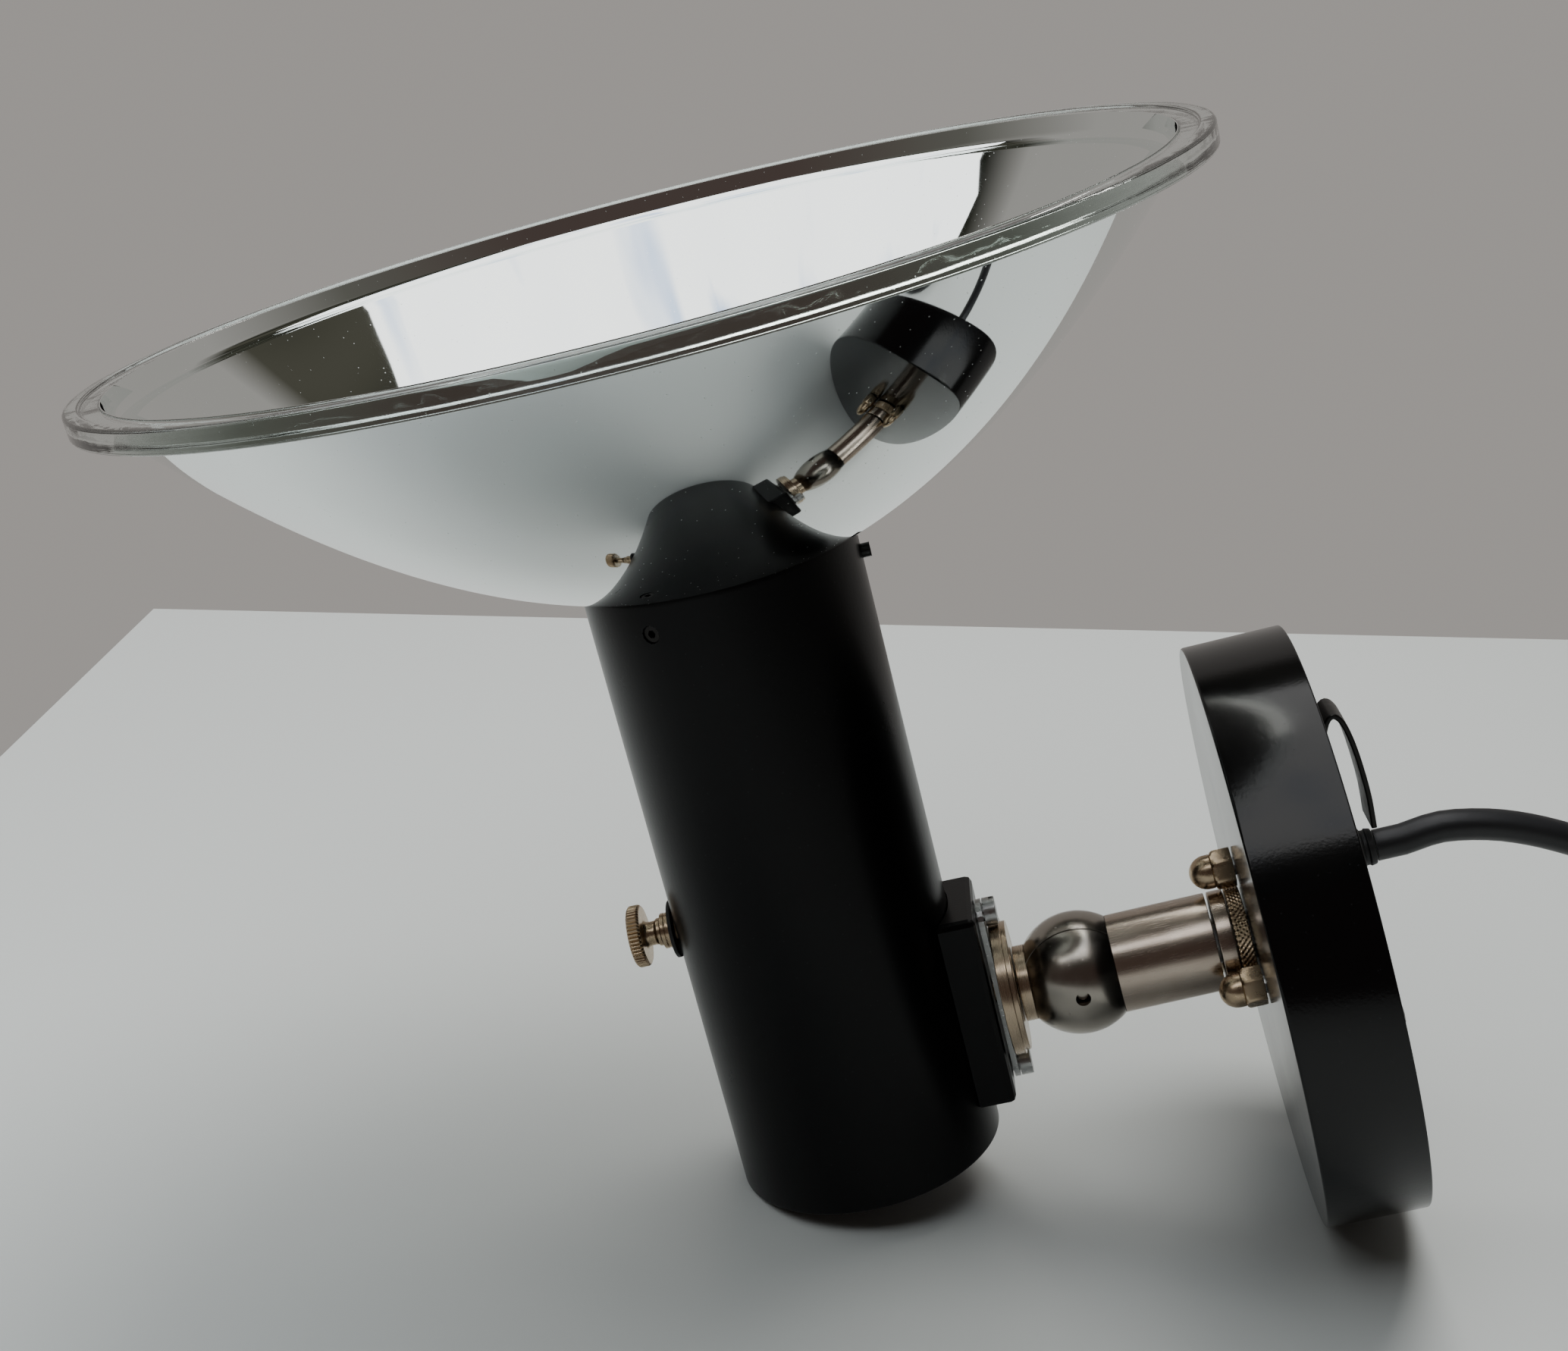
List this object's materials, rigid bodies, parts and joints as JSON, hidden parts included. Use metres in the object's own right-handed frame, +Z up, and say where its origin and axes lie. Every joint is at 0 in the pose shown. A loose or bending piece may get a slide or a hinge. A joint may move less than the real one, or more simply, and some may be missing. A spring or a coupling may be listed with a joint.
{
  "type": "adjustable wall spotlight",
  "caption": "Adjustable wall spotlight: mirrored glass bowl reflector on a black tube, split ball knuckle and short arm on a round wall plate with a hanger hook and mains cord.",
  "frame": {"origin": "on the surface that the lamp lies on, under the middle of the lamp without its free cord", "axes": "+Z up from the surface; +X from the reflector towards the wall plate, level; the head leans to -X by 14.4 degrees; Y = 0 is the plane through the tube, the arm and the wall plate"},
  "size_m": [0.4535, 0.2508, 0.2401],
  "materials": {
    "black_paint": "satin gloss black enamel",
    "mirror_glass": "mirror-coated glass with a clear rim",
    "nickel": "brushed nickel",
    "knuckle_steel": "dark polished steel",
    "warm_nickel": "aged nickel-plated brass, knurled where gripped",
    "black_steel": "blackened steel",
    "zinc": "zinc-plated steel",
    "aluminium": "turned aluminium",
    "ceramic": "unglazed porcelain",
    "bulb_glass": "clear glass",
    "brass": "plain brass",
    "rubber": "matte black rubber",
    "black_pvc": "black moulded plastic",
    "white_plastic": "white moulded plastic"
  },
  "bodies": {
    "wall_base": {"centre_nipple": "zinc", "nipple_nut": "zinc", "wall_plate": "black_paint", "acorn_nut_1": "warm_nickel", "acorn_nut_2": "warm_nickel", "acorn_nut_3": "warm_nickel", "nut_stud_1": "zinc", "nut_stud_2": "zinc", "nut_stud_3": "zinc", "back_cover": "black_paint", "cover_pillar_1": "zinc", "cover_pillar_2": "zinc", "cover_pillar_3": "zinc", "cover_screw_1": "zinc", "cover_screw_2": "zinc", "cover_screw_3": "zinc", "hanger_hook": "black_steel", "hook_rivet_1": "black_steel", "hook_rivet_2": "black_steel", "strain_relief": "rubber", "terminal_block": "white_plastic", "inner_lead": "black_pvc", "arm_lead": "black_pvc", "cord": "rubber", "cord_coil": "rubber", "cord_tail": "rubber", "plug": "black_pvc", "plug_pin_1": "brass", "plug_pin_2": "brass"},
    "lock_ring": {"lock_ring": "warm_nickel"},
    "arm": {"knuckle_arm_half": "knuckle_steel", "arm_tube": "nickel", "arm_collar": "nickel"},
    "head": {"housing": "black_paint", "base_cap": "black_paint", "bowl": "mirror_glass", "neck_sleeve": "rubber", "grub_screw_1": "black_steel", "grub_screw_2": "black_steel", "grub_screw_3": "black_steel", "clamp_washer": "rubber", "clamp_bush": "warm_nickel", "bracket_block": "black_paint", "bridge_plate": "zinc", "bracket_screw_upper": "zinc", "bracket_screw_lower": "zinc", "neck_disc": "nickel", "knuckle_head_half": "knuckle_steel", "knuckle_pin": "knuckle_steel", "head_lead": "black_pvc"},
    "lamp_carrier": {"lamp_carrier": "aluminium", "lampholder": "ceramic", "holder_screw_1": "zinc", "holder_screw_2": "zinc", "bulb_base": "brass", "bulb": "bulb_glass"},
    "clamp_screw": {"clamp_screw": "warm_nickel"}
  },
  "joints": [
    {"name": "arm_swivel", "type": "hinge", "parent": "wall_base", "child": "arm", "pos_m": [0.06776, 0, 0.05177], "axis": [0.9622, 0, 0.2724], "range_deg": [-170, 170]},
    {"name": "knuckle_tilt", "type": "hinge", "parent": "arm", "child": "head", "pos_m": [0.06776, 0, 0.05177], "axis": [0, 1, 0], "range_deg": [-70, 20]},
    {"name": "lock_ring_turn", "type": "hinge", "parent": "wall_base", "child": "lock_ring", "pos_m": [0.06776, 0, 0.05177], "axis": [0.9622, 0, 0.2724], "range_deg": [-90, 90]},
    {"name": "lamp_focus", "type": "slide", "parent": "head", "child": "lamp_carrier", "axis": [-0.2488, 0, 0.9686], "range_m": [-0.006, 0.006]},
    {"name": "clamp_screw_turn", "type": "hinge", "parent": "head", "child": "clamp_screw", "pos_m": [0.00698, 0, 0.06734], "axis": [-0.9686, 0, -0.2488], "range_deg": [-90, 270]}
  ]
}
